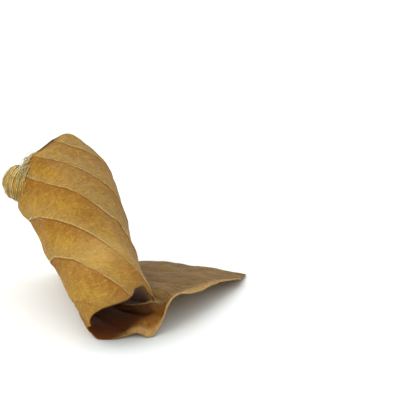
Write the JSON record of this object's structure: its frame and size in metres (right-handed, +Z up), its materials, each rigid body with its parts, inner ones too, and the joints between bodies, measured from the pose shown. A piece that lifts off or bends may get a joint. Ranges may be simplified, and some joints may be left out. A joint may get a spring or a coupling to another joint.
{
  "type": "dry beech leaf",
  "caption": "Dry, rolled beech leaf: one half arched into an open tube with a coiled base, the other half lying out flat to a pointed tip.",
  "frame": {"origin": "on the ground, under the middle of the leaf's bounding box", "axes": "+Z up from the ground, +X to the right towards the flat half's pointed tip, +Y back along the roll from its open mouth"},
  "size_m": [0.0408, 0.0386, 0.0258],
  "materials": {
    "dry_leaf": "dull dry leaf, golden brown outside and darker red-brown inside"
  },
  "bodies": {
    "root": {"leaf": "dry_leaf"}
  },
  "joints": []
}
